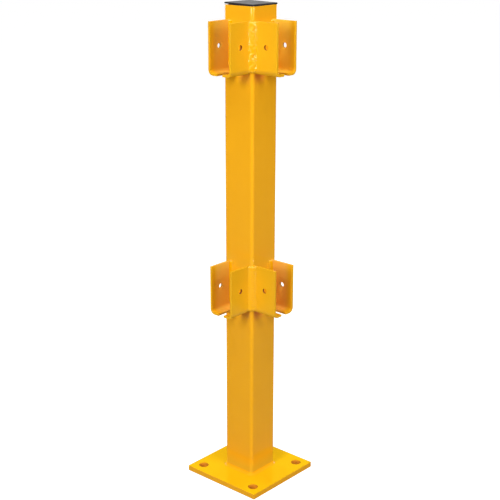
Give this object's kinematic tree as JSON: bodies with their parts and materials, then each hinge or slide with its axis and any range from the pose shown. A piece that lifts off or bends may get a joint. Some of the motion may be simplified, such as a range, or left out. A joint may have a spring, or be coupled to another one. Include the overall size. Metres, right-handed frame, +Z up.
{
  "type": "guard rail post",
  "caption": "Yellow square-tube corner post of a drop-in warehouse guard rail, with a bolt-down plate, folded rail cradles near its top and at mid height, and a black end cap.",
  "frame": {"origin": "on the floor, under the axis of the tube", "axes": "+Z up the tube; -X along the left pair of cradles, -Y along the right pair"},
  "size_m": [0.2032, 0.2032, 1.072],
  "materials": {
    "tube_paint": "glossy yellow powder coat on the square tube",
    "plate_paint": "glossy yellow powder coat on the anchor plate",
    "cradle_paint": "glossy yellow powder coat on the folded plates",
    "weld_paint": "glossy yellow powder coat over rippled weld beads",
    "black_plastic": "satin black moulded plastic"
  },
  "bodies": {
    "root": {"base_plate": "plate_paint", "post_tube": "tube_paint", "foot_weld": "weld_paint", "end_cap": "black_plastic", "upper_corner_weld": "weld_paint", "upper_left_outer_plate": "cradle_paint", "upper_left_inner_plate": "cradle_paint", "upper_left_back_weld": "weld_paint", "upper_left_channel_weld": "weld_paint", "upper_right_outer_plate": "cradle_paint", "upper_right_inner_plate": "cradle_paint", "upper_right_back_weld": "weld_paint", "upper_right_channel_weld": "weld_paint", "lower_corner_weld": "weld_paint", "lower_left_outer_plate": "cradle_paint", "lower_left_inner_plate": "cradle_paint", "lower_left_back_weld": "weld_paint", "lower_left_channel_weld": "weld_paint", "lower_right_outer_plate": "cradle_paint", "lower_right_inner_plate": "cradle_paint", "lower_right_back_weld": "weld_paint", "lower_right_channel_weld": "weld_paint"}
  },
  "joints": []
}
